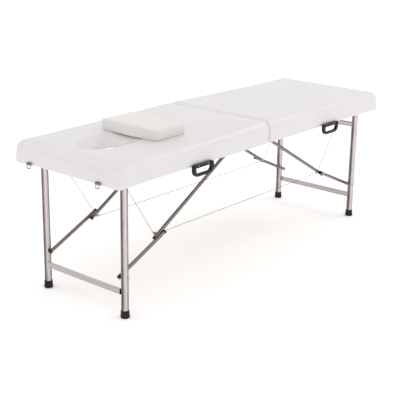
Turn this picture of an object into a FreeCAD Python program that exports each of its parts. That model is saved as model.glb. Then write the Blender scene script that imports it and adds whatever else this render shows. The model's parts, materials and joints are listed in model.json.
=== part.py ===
import FreeCAD, Part
import os
from math import acos, asin, atan2, cos, degrees, hypot, radians, sin, sqrt

# Portable massage table that folds in two, in millimetres.
# +X runs from the fold towards the foot end, -Y is the long side with the handles, +Z is up.
# The origin is on the floor, under the middle of the fold. The head half is modelled at -X,
# and the foot half is its mirror image, apart from the pieces that only one of them has.

# ---------------------------------------------------------------- driving dimensions
TABLE_LENGTH = 1860.0
TABLE_WIDTH = 600.0
TABLE_HEIGHT = 650.0
PANEL_HEIGHT = 92.0
FOLD_GAP = 1.5

CORNER_RADIUS = 34.0
TOP_RADIUS = 30.0
FOLD_RADIUS = 9.0
LEATHER = 1.2
FIT_GAP = 0.2

FACE_HOLE_X = -700.0
FACE_HOLE_LENGTH = 190.0
FACE_HOLE_WIDTH = 110.0
BASIN_MARGIN = 48.0
BASIN_DEPTH = 22.0
COLLAR_WIDTH = 14.0
COLLAR_Z = 599.0

RAIL_HEIGHT = 49.0
RAIL_THICKNESS = 20.0
BOARD_THICKNESS = 6.0
EDGE_FOAM = 12.0
FOLD_FOAM = 5.85
RAIL_CORNER = 18.0
COVER_RETURN = 18.0

HINGE_Y = 200.0
HINGE_DROP = 4.3
KNUCKLE_RADIUS = 4.0
KNUCKLE_LENGTH = 11.0
HINGE_PIN_RADIUS = 2.0

LEG_INSET = 102.0
LEG_Y = 224.0
LEG_RADIUS = 15.0
LEG_WALL = 1.5
LEG_PIVOT_Z = 574.0
FOOT_HEIGHT = 32.0
FOOT_RADIUS = 18.5

CROSSBAR_HEIGHT = 25.0
CROSSBAR_THICKNESS = 10.0
CROSSBAR_OFFSET = 8.5
LOWER_CROSSBAR_Z = 108.0
UPPER_CROSSBAR_Z = 479.0

BRACE_RADIUS = 7.5
BRACE_WALL = 1.2
BRACE_OFFSET = 5.0
BRACE_FOOT_Z = 170.0
BRACE_HEAD_X = -61.0
KNEE_BEND = 6.0
LOWER_BRACE_Y = 199.2
UPPER_BRACE_Y = 181.7
KNEE_OVERHANG = 25.0
BRACE_END_OVERHANG = 14.0
BRACE_BOLT_RADIUS = 3.0
BOLT_CLEARANCE = 0.05

CABLE_RADIUS = 1.0
CABLE_Y = 166.0
CABLE_ANCHOR_X = -815.0
CABLE_ANCHOR_Z = 590.0
SPOOL_RADIUS = 4.0

HANDLE_X = -465.0
HANDLE_WIDTH = 128.0
HANDLE_ARM = 18.0
HANDLE_GRIP = 12.0
HANDLE_LOW_Z = 520.0
HANDLE_PIVOT_Z = 563.5
HANDLE_EYE_RADIUS = 7.0

LATCH_Y = 193.0
LATCH_PIVOT_Z = 565.0

PILLOW = (183.0, 310.0, 51.0)
PILLOW_CENTRE = (-496.0, -10.0)
PILLOW_EDGE = 4.0

# ---------------------------------------------------------------- values that follow from them
HALF_LENGTH = TABLE_LENGTH / 2
HALF_WIDTH = TABLE_WIDTH / 2
SKIRT_Z = TABLE_HEIGHT - PANEL_HEIGHT
FOLD_X = -FOLD_GAP / 2
RAIL_Z = SKIRT_Z + LEATHER + FIT_GAP
BOARD_Z = RAIL_Z + RAIL_HEIGHT
FOAM_Z = BOARD_Z + BOARD_THICKNESS
RAIL_END_X = -(HALF_LENGTH - EDGE_FOAM)
RAIL_FOLD_X = FOLD_X - FOLD_FOAM
RAIL_Y = HALF_WIDTH - EDGE_FOAM
HINGE_Z = SKIRT_Z - HINGE_DROP
LEG_X = -(HALF_LENGTH - LEG_INSET)


def V(x, y, z):
    return FreeCAD.Vector(x, y, z)


# ---------------------------------------------------------------- small shapes
def box(x0, x1, y0, y1, z0, z1):
    return Part.makeBox(x1 - x0, y1 - y0, z1 - z0, V(x0, y0, z0))


def rod(radius, start, end):
    along = end - start
    return Part.makeCylinder(radius, along.Length, start, along)


def tube(radius, wall, start, end):
    return rod(radius, start, end).cut(rod(radius - wall, start, end))


def cross_pin(radius, x, z, y0, y1):
    return rod(radius, V(x, min(y0, y1), z), V(x, max(y0, y1), z))


def dome(radius, height, centre, outward):
    """A low round head that stands on a face and points outward."""
    head = Part.makeCylinder(radius, height, centre, outward)
    rim = [e for e in head.Edges if abs(e.CenterOfMass.distanceToPoint(centre) - height) < 0.01]
    return head.makeFillet(height * 0.6, [e for e in rim if e.Closed])


def stadium_wire(length, width, z):
    """A wire of two straight sides and two half circles, centred on the face hole."""
    straight = (length - width) / 2
    r = width / 2
    x = FACE_HOLE_X
    left = Part.Arc(V(x - straight, r, z), V(x - straight - r, 0, z), V(x - straight, -r, z))
    right = Part.Arc(V(x + straight, -r, z), V(x + straight + r, 0, z), V(x + straight, r, z))
    near = Part.LineSegment(V(x - straight, -r, z), V(x + straight, -r, z))
    far = Part.LineSegment(V(x + straight, r, z), V(x - straight, r, z))
    return Part.Wire([side.toShape() for side in (left, near, right, far)])


def stadium(margin, z0, z1):
    wire = stadium_wire(FACE_HOLE_LENGTH + 2 * margin, FACE_HOLE_WIDTH + 2 * margin, z0)
    return Part.Face(wire).extrude(V(0, 0, z1 - z0))


def basin(drop):
    """The sloping hollow round the face hole, lowered by drop below the upholstery's top."""
    top = stadium_wire(
        FACE_HOLE_LENGTH + 2 * BASIN_MARGIN, FACE_HOLE_WIDTH + 2 * BASIN_MARGIN, TABLE_HEIGHT - drop
    )
    low = stadium_wire(FACE_HOLE_LENGTH + 6, FACE_HOLE_WIDTH + 6, TABLE_HEIGHT - BASIN_DEPTH - drop)
    cap = stadium(BASIN_MARGIN, TABLE_HEIGHT - drop, TABLE_HEIGHT + 5)
    return Part.makeLoft([low, top], True, True).fuse(cap)


# ---------------------------------------------------------------- upholstery
def pad(inset, bottom):
    """The outer shape of one upholstered half, made smaller all round by inset."""
    x0 = -HALF_LENGTH + inset
    x1 = FOLD_X - inset
    y = HALF_WIDTH - inset
    top = TABLE_HEIGHT - inset
    block = box(x0, x1, -y, y, bottom, top)
    upright = [
        e for e in block.Edges
        if abs(e.CenterOfMass.x - x0) < 0.01 and abs(abs(e.CenterOfMass.y) - y) < 0.01
    ]
    block = block.makeFillet(CORNER_RADIUS - inset, upright)
    rim = [
        e for e in block.Edges
        if abs(e.BoundBox.ZMin - top) < 0.01 and e.CenterOfMass.x < x1 - 0.01
    ]
    block = block.makeFillet(TOP_RADIUS - inset, rim)
    fold = [
        e for e in block.Edges
        if abs(e.BoundBox.XMin - x1) < 0.01 and e.BoundBox.ZMax > bottom + 0.01
    ]
    return block.makeFillet(FOLD_RADIUS - inset, fold)


def rail_block(margin, z0, z1):
    """The outline of the timber frame, with its two end corners rounded."""
    x0 = RAIL_END_X - margin
    block = box(x0, RAIL_FOLD_X + margin, -RAIL_Y - margin, RAIL_Y + margin, z0, z1)
    corners = [
        e for e in block.Edges
        if abs(e.CenterOfMass.x - x0) < 0.01 and abs(abs(e.CenterOfMass.y) - RAIL_Y - margin) < 0.01
    ]
    return block.makeFillet(RAIL_CORNER, corners)


def make_cover(half):
    """The leather skin, with the edge turned in under the rails and the face hole lined."""
    outer = pad(0, SKIRT_Z)
    inner = pad(LEATHER, RAIL_Z - FIT_GAP)
    window = box(
        -HALF_LENGTH + COVER_RETURN, FOLD_X - COVER_RETURN,
        -HALF_WIDTH + COVER_RETURN, HALF_WIDTH - COVER_RETURN, SKIRT_Z - 1, RAIL_Z
    )
    if half == "head":
        outer = outer.cut(basin(0))
        inner = inner.cut(basin(LEATHER))
    skin = outer.cut(inner).cut(window)
    if half == "head":
        rim_z = TABLE_HEIGHT - BASIN_DEPTH - LEATHER
        liner = stadium(LEATHER, COLLAR_Z, rim_z)
        skin = skin.fuse(liner).cut(stadium(0, SKIRT_Z, TABLE_HEIGHT + 5))
    return skin.removeSplitter()


def make_foam(half):
    """The foam slab on the board."""
    inset = LEATHER + FIT_GAP
    slab = pad(inset, FOAM_Z)
    if half == "head":
        slab = slab.cut(basin(inset))
        slab = slab.cut(stadium(inset, SKIRT_Z, TABLE_HEIGHT + 5))
    return slab


def make_edge_foam():
    """Four foam strips that pad the frame's sides, between the timber and the leather."""
    ring = pad(LEATHER + FIT_GAP, RAIL_Z).cut(rail_block(FIT_GAP, RAIL_Z - 1, TABLE_HEIGHT))
    ring = ring.common(box(-HALF_LENGTH, 0, -HALF_WIDTH, HALF_WIDTH, RAIL_Z, FOAM_Z - FIT_GAP))
    side = RAIL_Y - RAIL_CORNER
    near = ring.common(box(-HALF_LENGTH, 0, -HALF_WIDTH, -side, RAIL_Z, FOAM_Z))
    far = ring.common(box(-HALF_LENGTH, 0, side, HALF_WIDTH, RAIL_Z, FOAM_Z))
    middle = ring.common(box(-HALF_LENGTH, 0, -side + FIT_GAP, side - FIT_GAP, RAIL_Z, FOAM_Z))
    return [near, far] + middle.Solids


# ---------------------------------------------------------------- the frame inside a half
def make_board(half):
    board = rail_block(0, BOARD_Z, FOAM_Z)
    if half == "head":
        board = board.cut(stadium(LEATHER + FIT_GAP, BOARD_Z - 1, FOAM_Z + 1))
    return board


def make_hole_collar():
    """A timber ring under the board that the hole's leather lining is stapled to."""
    inner = LEATHER + FIT_GAP
    ring = stadium(inner + COLLAR_WIDTH, COLLAR_Z, BOARD_Z)
    return ring.cut(stadium(inner, COLLAR_Z - 1, BOARD_Z + 1))


def make_rails():
    """Two side rails, with an end rail and a fold rail between them."""
    frame = rail_block(0, RAIL_Z, BOARD_Z)
    inside = RAIL_Y - RAIL_THICKNESS
    rails = [
        frame.common(box(-HALF_LENGTH, 0, -HALF_WIDTH, -inside, RAIL_Z, BOARD_Z)),
        frame.common(box(-HALF_LENGTH, 0, inside, HALF_WIDTH, RAIL_Z, BOARD_Z)),
    ]
    for x in (RAIL_END_X, RAIL_FOLD_X - RAIL_THICKNESS):
        rails.append(box(x, x + RAIL_THICKNESS, -inside, inside, RAIL_Z, BOARD_Z))
    return rails


def u_bracket(x, y, z, reach, gap, plate, ear_drop, bolt_radius):
    """A folded steel bracket under the board, with two ears that hold a tube between them."""
    top = BOARD_Z
    half_gap = gap / 2
    base = box(x - reach, x + reach, y - half_gap - plate, y + half_gap + plate, top - plate, top)
    bracket = base
    for y0 in (y - half_gap - plate, y + half_gap):
        ear = box(x - reach, x + reach, y0, y0 + plate, z - ear_drop, top - plate)
        low = [
            e for e in ear.Edges
            if abs(e.CenterOfMass.z - (z - ear_drop)) < 0.01 and e.Length < plate + 0.01
        ]
        bracket = bracket.fuse(ear.makeFillet(reach * 0.6, low))
    return bracket.cut(cross_pin(bolt_radius + BOLT_CLEARANCE, x, z, y - gap, y + gap))


LEG_EAR_GAP = 2 * LEG_RADIUS + 2.4
LEG_EAR_PLATE = 2.5
LEG_BOLT_RADIUS = 4.0
BRACE_EAR_GAP = 2 * BRACE_RADIUS + 1.8
BRACE_EAR_PLATE = 2.0
LEG_BRACKET_REACH = 18.0
LEG_EAR_DROP = 13.5
BRACE_BRACKET_REACH = 11.0
BRACE_EAR_DROP = 9.5
BRACE_HEAD_Z = LEG_PIVOT_Z + BRACE_OFFSET


def make_leg_brackets():
    return [
        u_bracket(LEG_X, side * LEG_Y, LEG_PIVOT_Z, LEG_BRACKET_REACH, LEG_EAR_GAP, LEG_EAR_PLATE,
                  LEG_EAR_DROP, LEG_BOLT_RADIUS)
        for side in (-1, 1)
    ]


def make_brace_brackets():
    return [
        u_bracket(BRACE_HEAD_X, side * UPPER_BRACE_Y, BRACE_HEAD_Z, BRACE_BRACKET_REACH,
                  BRACE_EAR_GAP, BRACE_EAR_PLATE, BRACE_EAR_DROP, BRACE_BOLT_RADIUS)
        for side in (-1, 1)
    ]


def pivot_bolt(x, y, z, half_length, radius, head):
    """A bolt across a bracket: a shank with a low round head at each end."""
    shank = cross_pin(radius, x, z, y - half_length, y + half_length)
    for side in (-1, 1):
        face = V(x, y + side * half_length, z)
        shank = shank.fuse(dome(radius * 1.7, head, face, V(0, side, 0)))
    return shank


def make_pivot_bolts():
    leg_reach = LEG_EAR_GAP / 2 + LEG_EAR_PLATE + 0.1
    brace_reach = BRACE_EAR_GAP / 2 + BRACE_EAR_PLATE + 0.1
    bolts = []
    for side in (-1, 1):
        bolts.append(pivot_bolt(LEG_X, side * LEG_Y, LEG_PIVOT_Z, leg_reach, LEG_BOLT_RADIUS, 3.0))
        bolts.append(pivot_bolt(BRACE_HEAD_X, side * UPPER_BRACE_Y, BRACE_HEAD_Z, brace_reach,
                                BRACE_BOLT_RADIUS, 2.0))
    return bolts


# ---------------------------------------------------------------- the fold's hinges
HINGE_LEAF_LENGTH = 5 * KNUCKLE_LENGTH
HINGE_LEAF_REACH = 32.0
HINGE_LEAF_TOP = SKIRT_Z - 0.2
HINGE_LEAF_BOTTOM = HINGE_LEAF_TOP - 2.0
KNUCKLE_GAP = 0.4


def hinge_leaf(y, knuckles):
    """A leaf under the fold rail, with its share of the knuckles on the pin's axis."""
    start = y - HINGE_LEAF_LENGTH / 2
    clear = KNUCKLE_RADIUS + 0.5
    leaf = box(-HINGE_LEAF_REACH, -clear, start, start + HINGE_LEAF_LENGTH,
               HINGE_LEAF_BOTTOM, HINGE_LEAF_TOP)
    for k in knuckles:
        y0 = start + k * KNUCKLE_LENGTH + KNUCKLE_GAP / 2
        y1 = start + (k + 1) * KNUCKLE_LENGTH - KNUCKLE_GAP / 2
        leaf = leaf.fuse(cross_pin(KNUCKLE_RADIUS, 0, HINGE_Z, y0, y1))
        leaf = leaf.fuse(box(-clear, -1, y0, y1, HINGE_LEAF_BOTTOM, HINGE_LEAF_TOP - 0.3))
    leaf = leaf.cut(cross_pin(HINGE_PIN_RADIUS + BOLT_CLEARANCE, 0, HINGE_Z,
                              start - 1, start + HINGE_LEAF_LENGTH + 1))
    for k in (0.5, 2.5, 4.5):
        spot = V(-HINGE_LEAF_REACH / 2 - 4, start + k * KNUCKLE_LENGTH, HINGE_LEAF_BOTTOM)
        leaf = leaf.fuse(dome(3.2, 0.7, spot, V(0, 0, -1)))
    return leaf


def make_hinge_leaves(half):
    knuckles = (0, 2, 4) if half == "head" else (1, 3)
    return [hinge_leaf(side * HINGE_Y, knuckles) for side in (-1, 1)]


def make_hinge_pins():
    reach = HINGE_LEAF_LENGTH / 2
    return [
        cross_pin(HINGE_PIN_RADIUS, 0, HINGE_Z, side * HINGE_Y - reach, side * HINGE_Y + reach)
        for side in (-1, 1)
    ]


# ---------------------------------------------------------------- leg frames
def make_leg(side):
    foot = V(LEG_X, side * LEG_Y, 6)
    head = V(LEG_X, side * LEG_Y, LEG_PIVOT_Z + 14)
    leg = tube(LEG_RADIUS, LEG_WALL, foot, head)
    pivot = cross_pin(LEG_BOLT_RADIUS + BOLT_CLEARANCE, LEG_X, LEG_PIVOT_Z,
                      side * (LEG_Y - 20), side * (LEG_Y + 20))
    brace = cross_pin(BRACE_BOLT_RADIUS + BOLT_CLEARANCE, LEG_X + BRACE_OFFSET, BRACE_FOOT_Z,
                      side * (LEG_Y - 20), side * (LEG_Y + 20))
    return leg.cut(pivot).cut(brace)


def make_feet():
    """Rubber cups that flare to the floor, with the leg standing inside."""
    feet = []
    for side in (-1, 1):
        base = V(LEG_X, side * LEG_Y, 0)
        flare = Part.makeCylinder(FOOT_RADIUS, 11, base)
        low = [e for e in flare.Edges if e.Closed and e.BoundBox.ZMax < 0.01]
        flare = flare.makeFillet(3.0, low)
        neck = Part.makeCone(FOOT_RADIUS - 0.6, FOOT_RADIUS - 1.8, FOOT_HEIGHT - 11,
                             V(LEG_X, side * LEG_Y, 11))
        socket = Part.makeCylinder(LEG_RADIUS + 0.1, FOOT_HEIGHT, V(LEG_X, side * LEG_Y, 5.8))
        feet.append(flare.fuse(neck).cut(socket))
    return feet


CROSSBAR_END_Y = LEG_Y - LEG_RADIUS - 0.2
CROSSBAR_X = LEG_X - CROSSBAR_OFFSET


def make_crossbar(z):
    """A flat tube between the two legs, on their end-facing side."""
    half_x = CROSSBAR_THICKNESS / 2
    half_z = CROSSBAR_HEIGHT / 2
    wall = 1.2
    bar = box(CROSSBAR_X - half_x, CROSSBAR_X + half_x, -CROSSBAR_END_Y, CROSSBAR_END_Y,
              z - half_z, z + half_z)
    bar = bar.makeFillet(3.5, [e for e in bar.Edges if e.BoundBox.YLength > CROSSBAR_END_Y])
    hollow = box(CROSSBAR_X - half_x + wall, CROSSBAR_X + half_x - wall,
                 -CROSSBAR_END_Y - 1, CROSSBAR_END_Y + 1, z - half_z + wall, z + half_z - wall)
    return bar.cut(hollow)


def make_crossbar_rivets(heights):
    """Two rivets at each end of a crossbar, on its outer face."""
    face_x = CROSSBAR_X - CROSSBAR_THICKNESS / 2
    return [
        dome(3.0, 1.4, V(face_x, side * (CROSSBAR_END_Y - 12), z + step), V(-1, 0, 0))
        for z in heights
        for side in (-1, 1)
        for step in (-5.5, 5.5)
    ]


BRACE_BOLT_INNER = LOWER_BRACE_Y - BRACE_RADIUS - 0.1


def make_brace_bolts():
    """The bolt through each leg that the lower brace turns on."""
    bolts = []
    x = LEG_X + BRACE_OFFSET
    outer = LEG_Y + LEG_RADIUS
    for side in (-1, 1):
        shank = cross_pin(BRACE_BOLT_RADIUS, x, BRACE_FOOT_Z, side * BRACE_BOLT_INNER, side * outer)
        head = dome(5.5, 3.2, V(x, side * outer, BRACE_FOOT_Z), V(0, side, 0))
        tail = dome(5.0, 1.6, V(x, side * BRACE_BOLT_INNER, BRACE_FOOT_Z), V(0, -side, 0))
        spacer_y = LEG_Y - LEG_RADIUS - 0.1
        spacer = cross_pin(5.0, x, BRACE_FOOT_Z, side * (LOWER_BRACE_Y + BRACE_RADIUS + 0.2),
                           side * spacer_y)
        bolts.append(shank.fuse(head).fuse(tail).fuse(spacer))
    return bolts


# ---------------------------------------------------------------- folding braces
# Each brace is an upper tube, on the panel, and a lower tube, on the leg. They stow flat
# because the difference of their lengths is the distance between their two end bolts then.
brace_foot = (LEG_X + BRACE_OFFSET, BRACE_FOOT_Z)
brace_head = (BRACE_HEAD_X, BRACE_HEAD_Z)
span = hypot(brace_head[0] - brace_foot[0], brace_head[1] - brace_foot[1])
stowed_foot_x = LEG_X + LEG_PIVOT_Z - BRACE_FOOT_Z
difference = BRACE_HEAD_X - stowed_foot_x
bend = cos(radians(KNEE_BEND))
lower_length = (
    -difference * (1 + bend) + sqrt((difference * (1 + bend)) ** 2
                                    + 2 * (1 + bend) * (span ** 2 - difference ** 2))
) / (2 * (1 + bend))
upper_length = lower_length + difference
span_angle = atan2(brace_head[1] - brace_foot[1], brace_head[0] - brace_foot[0])
foot_corner = acos((lower_length ** 2 + span ** 2 - upper_length ** 2) / (2 * lower_length * span))
lower_angle = span_angle - foot_corner
knee = (brace_foot[0] + lower_length * cos(lower_angle), brace_foot[1] + lower_length * sin(lower_angle))
upper_angle = atan2(brace_head[1] - knee[1], brace_head[0] - knee[0])


def brace_axis(end):
    """The two bolt points of a brace tube, and its ends past them, as (x, z) pairs."""
    if end == "lower":
        start, finish, over_start, over_finish = brace_foot, knee, BRACE_END_OVERHANG, KNEE_OVERHANG
        angle = lower_angle
    else:
        start, finish, over_start, over_finish = knee, brace_head, KNEE_OVERHANG, BRACE_END_OVERHANG
        angle = upper_angle
    first = (start[0] - over_start * cos(angle), start[1] - over_start * sin(angle))
    last = (finish[0] + over_finish * cos(angle), finish[1] + over_finish * sin(angle))
    return start, finish, first, last


def make_braces(end):
    y = LOWER_BRACE_Y if end == "lower" else UPPER_BRACE_Y
    start, finish, first, last = brace_axis(end)
    tubes = []
    for side in (-1, 1):
        low_end = V(first[0], side * y, first[1])
        high_end = V(last[0], side * y, last[1])
        piece = tube(BRACE_RADIUS, BRACE_WALL, low_end, high_end)
        for point in (start, finish):
            piece = piece.cut(cross_pin(BRACE_BOLT_RADIUS + BOLT_CLEARANCE, point[0], point[1],
                                        side * (y - 10), side * (y + 10)))
        tubes.append(piece)
    return tubes


def make_brace_caps(end):
    """Black caps over both ends of each tube."""
    y = LOWER_BRACE_Y if end == "lower" else UPPER_BRACE_Y
    _, _, first, last = brace_axis(end)
    caps = []
    for side in (-1, 1):
        near_end = V(first[0], side * y, first[1])
        far_end = V(last[0], side * y, last[1])
        along = (far_end - near_end).normalize()
        for tip, outward in ((near_end, along * -1), (far_end, along)):
            shell = Part.makeCylinder(BRACE_RADIUS + 0.9, 8.0, tip - outward * 6.0, outward)
            rim = [e for e in shell.Edges
                   if e.Closed and e.CenterOfMass.distanceToPoint(tip + outward * 2.0) < 0.01]
            shell = shell.makeFillet(1.2, rim)
            caps.append(shell.cut(rod(BRACE_RADIUS + 0.1, tip - outward * 7.0, tip + outward * 0.1)))
    return caps


def make_knee_bolts():
    """The half of each knee bolt in the upper tube, with the spool that the cable runs under."""
    x, z = knee
    bolts = []
    for side in (-1, 1):
        inner = UPPER_BRACE_Y - BRACE_RADIUS - 0.1
        outer = UPPER_BRACE_Y + BRACE_RADIUS + 0.1
        bolt = cross_pin(BRACE_BOLT_RADIUS, x, z, side * inner, side * outer)
        bolt = bolt.fuse(cross_pin(5.5, x, z, side * outer, side * (outer + 0.6)))
        bolt = bolt.fuse(cross_pin(6.5, x, z, side * inner, side * (inner - 3.6)))
        bolt = bolt.fuse(cross_pin(SPOOL_RADIUS, x, z, side * (inner - 3.6), side * (CABLE_Y - 3)))
        bolt = bolt.fuse(dome(6.5, 2.0, V(x, side * (CABLE_Y - 3), z), V(0, -side, 0)))
        bolts.append(bolt)
    return bolts


def make_knee_nuts():
    """The other half of each knee bolt, in the lower tube."""
    x, z = knee
    nuts = []
    for side in (-1, 1):
        inner = LOWER_BRACE_Y - BRACE_RADIUS - 0.1
        outer = LOWER_BRACE_Y + BRACE_RADIUS + 0.1
        nut = cross_pin(BRACE_BOLT_RADIUS, x, z, side * inner, side * outer)
        nut = nut.fuse(cross_pin(5.5, x, z, side * inner, side * (inner - 0.6)))
        nut = nut.fuse(dome(5.5, 1.5, V(x, side * outer, z), V(0, side, 0)))
        nuts.append(nut)
    return nuts


# ---------------------------------------------------------------- tension cables
CABLE_BEND = SPOOL_RADIUS + CABLE_RADIUS + 0.3
cable_z = knee[1] - CABLE_BEND
anchor_to_knee = (knee[0] - CABLE_ANCHOR_X, knee[1] - CABLE_ANCHOR_Z)
cable_slope = atan2(anchor_to_knee[1], anchor_to_knee[0]) - asin(CABLE_BEND / hypot(*anchor_to_knee))
cable_corner_x = CABLE_ANCHOR_X + (cable_z - CABLE_ANCHOR_Z) / (sin(cable_slope) / cos(cable_slope))


def make_cable(side):
    """From the anchor down to the knee, round the spool's underside, and level to the fold."""
    y = side * CABLE_Y
    corner = V(cable_corner_x, y, cable_z)
    down = V(cos(cable_slope), 0, sin(cable_slope))
    setback = CABLE_BEND * sin(-cable_slope / 2) / cos(cable_slope / 2)
    start = V(CABLE_ANCHOR_X, y, CABLE_ANCHOR_Z)
    before = corner - down * setback
    after = corner + V(setback, 0, 0)
    middle_angle = radians(-90) + cable_slope / 2
    middle = V(knee[0] + CABLE_BEND * cos(middle_angle), y, knee[1] + CABLE_BEND * sin(middle_angle))
    path = Part.Wire([
        Part.LineSegment(start, before).toShape(),
        Part.Arc(before, middle, after).toShape(),
        Part.LineSegment(after, V(0, y, cable_z)).toShape(),
    ])
    profile = Part.Wire([Part.Circle(start, down, CABLE_RADIUS).toShape()])
    return path.makePipeShell([profile], True, False)


def make_cable_anchors():
    """A steel block under the board that grips each cable's end."""
    down = V(cos(cable_slope), 0, sin(cable_slope))
    blocks = []
    for side in (-1, 1):
        y = side * CABLE_Y
        start = V(CABLE_ANCHOR_X, y, CABLE_ANCHOR_Z)
        plate = box(CABLE_ANCHOR_X - 16, CABLE_ANCHOR_X + 12, y - 7, y + 7, BOARD_Z - 2, BOARD_Z)
        block = box(CABLE_ANCHOR_X - 8, CABLE_ANCHOR_X + 4, y - 5, y + 5, CABLE_ANCHOR_Z - 6, BOARD_Z - 2)
        blocks.append(plate.fuse(block).cut(rod(CABLE_RADIUS + 0.15, start, start + down * 20)))
    return blocks


# ---------------------------------------------------------------- carrying handles
HANDLE_Y = -(HALF_WIDTH + 7.5)
HANDLE_PIN_RADIUS = 3.0
HANDLE_PIN_LENGTH = 11.0
HANDLE_OUTER_CORNER = 30.0
HANDLE_TOP_CORNER = 11.0
HANDLE_INNER_CORNER = 16.0
HANDLE_EDGE = 4.5
HANDLE_MOUNT_REACH = HANDLE_WIDTH / 2 - HANDLE_ARM - 0.5
HANDLE_MOUNT_LOW = SKIRT_Z - 3.5
HANDLE_SCREW_SPACING = 57.0
HANDLE_SCREW_RADIUS = 3.2
HANDLE_SCREW_RECESS = 2.4


def make_handle_mount():
    """The straight bar screwed to the skirt, with a blind bore in each end."""
    front = -HALF_WIDTH - 12.6
    top = HANDLE_PIVOT_Z + HANDLE_EYE_RADIUS
    bar = box(HANDLE_X - HANDLE_MOUNT_REACH, HANDLE_X + HANDLE_MOUNT_REACH, front, -HALF_WIDTH - 0.2,
              HANDLE_MOUNT_LOW, top)
    bar = bar.makeFillet(3.5, [e for e in bar.Edges if e.CenterOfMass.y < front + 0.01])
    for side in (-1, 1):
        tip = V(HANDLE_X + side * (HANDLE_MOUNT_REACH + 1), HANDLE_Y, HANDLE_PIVOT_Z)
        inner = V(HANDLE_X + side * (HANDLE_MOUNT_REACH - HANDLE_PIN_LENGTH - 1), HANDLE_Y, HANDLE_PIVOT_Z)
        bar = bar.cut(rod(HANDLE_PIN_RADIUS + BOLT_CLEARANCE, tip, inner))
        face = V(HANDLE_X + side * HANDLE_SCREW_SPACING / 2, front, HANDLE_PIVOT_Z)
        seat = face + V(0, HANDLE_SCREW_RECESS, 0)
        bar = bar.cut(Part.makeCylinder(HANDLE_SCREW_RADIUS + 0.8, HANDLE_SCREW_RECESS, face, V(0, 1, 0)))
        bar = bar.fuse(dome(HANDLE_SCREW_RADIUS, 1.0, seat, V(0, -1, 0)))
    return bar


def make_handle():
    """A moulded bail that hangs from the bar and swings out to carry the closed table."""
    outer = HANDLE_WIDTH / 2
    inner = outer - HANDLE_ARM
    depth = 2 * HANDLE_EYE_RADIUS - 1
    y0 = HANDLE_Y - depth / 2
    top = HANDLE_PIVOT_Z + HANDLE_EYE_RADIUS
    bail = box(HANDLE_X - outer, HANDLE_X + outer, y0, y0 + depth, HANDLE_LOW_Z, top)
    corners = [e for e in bail.Edges if e.BoundBox.YLength > depth - 0.01]
    bail = bail.makeFillet(HANDLE_OUTER_CORNER, [e for e in corners if e.CenterOfMass.z < HANDLE_PIVOT_Z])
    corners = [e for e in bail.Edges
               if e.BoundBox.YLength > depth - 0.01 and e.CenterOfMass.z > top - 0.01]
    bail = bail.makeFillet(HANDLE_TOP_CORNER, corners)
    opening = box(HANDLE_X - inner, HANDLE_X + inner, y0 - 1, y0 + depth + 1,
                  HANDLE_LOW_Z + HANDLE_GRIP, top + 20)
    low = [
        e for e in opening.Edges
        if e.BoundBox.YLength > depth and e.CenterOfMass.z < HANDLE_PIVOT_Z
    ]
    bail = bail.cut(opening.makeFillet(HANDLE_INNER_CORNER, low))
    faces = [
        e for e in bail.Edges
        if e.BoundBox.YLength < 0.01 and abs(e.CenterOfMass.z - top) > 0.01
    ]
    bail = bail.makeFillet(HANDLE_EDGE, faces)
    eyes = rod(HANDLE_EYE_RADIUS, V(HANDLE_X - outer, HANDLE_Y, HANDLE_PIVOT_Z),
               V(HANDLE_X + outer, HANDLE_Y, HANDLE_PIVOT_Z))
    below = box(HANDLE_X - outer, HANDLE_X + outer, y0 - 1, y0 + depth + 1,
                HANDLE_LOW_Z - 1, HANDLE_PIVOT_Z)
    bail = bail.common(eyes.fuse(below))
    for side in (-1, 1):
        tip = V(HANDLE_X + side * (HANDLE_MOUNT_REACH - HANDLE_PIN_LENGTH), HANDLE_Y, HANDLE_PIVOT_Z)
        root = V(HANDLE_X + side * (inner + 4), HANDLE_Y, HANDLE_PIVOT_Z)
        bail = bail.fuse(rod(HANDLE_PIN_RADIUS, tip, root))
    return bail


def make_bumpers():
    """Rubber studs on the long side that the closed table stands on."""
    return [
        dome(9.0, 5.5, V(x, HALF_WIDTH + 0.2, SKIRT_Z + 17), V(0, 1, 0))
        for x in (-110.0, -HALF_LENGTH + 130.0)
    ]


# ---------------------------------------------------------------- end latches
LATCH_PLATE = 1.5
LATCH_LEVER_HALF = 10.0
LATCH_PIN_RADIUS = 1.5
LATCH_PIN_X = -HALF_LENGTH - 5.0
LATCH_LEVER_LOW = SKIRT_Z - 11.4
LATCH_PLATE_HALF = 13.0
CATCH_LOW_Z = SKIRT_Z - 2.0


def latch_base(y):
    face_x = -HALF_LENGTH - 0.3
    plate = box(face_x - LATCH_PLATE, face_x, y - LATCH_PLATE_HALF, y + LATCH_PLATE_HALF,
                SKIRT_Z + 0.5, SKIRT_Z + 14)
    corners = [e for e in plate.Edges if e.BoundBox.XLength > LATCH_PLATE - 0.01]
    plate = plate.makeFillet(3.0, corners)
    for side in (-1, 1):
        y0 = y + side * (LATCH_LEVER_HALF + 0.3)
        y1 = y0 + side * LATCH_PLATE
        ear = box(LATCH_PIN_X - 3.0, face_x - LATCH_PLATE / 2, min(y0, y1), max(y0, y1),
                  LATCH_PIVOT_Z - 4.0, LATCH_PIVOT_Z + 4.0)
        plate = plate.fuse(ear)
    hole = cross_pin(LATCH_PIN_RADIUS, LATCH_PIN_X, LATCH_PIVOT_Z, y - 14, y + 14)
    return plate.cut(hole)


def make_latch_bases():
    """A plate with two ears, and the pin through them, for each latch."""
    solids = []
    for side in (-1, 1):
        y = side * LATCH_Y
        reach = LATCH_LEVER_HALF + 0.3 + LATCH_PLATE
        solids.append(latch_base(y))
        solids.append(cross_pin(LATCH_PIN_RADIUS - 0.02, LATCH_PIN_X, LATCH_PIVOT_Z, y - reach, y + reach))
    return solids


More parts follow.
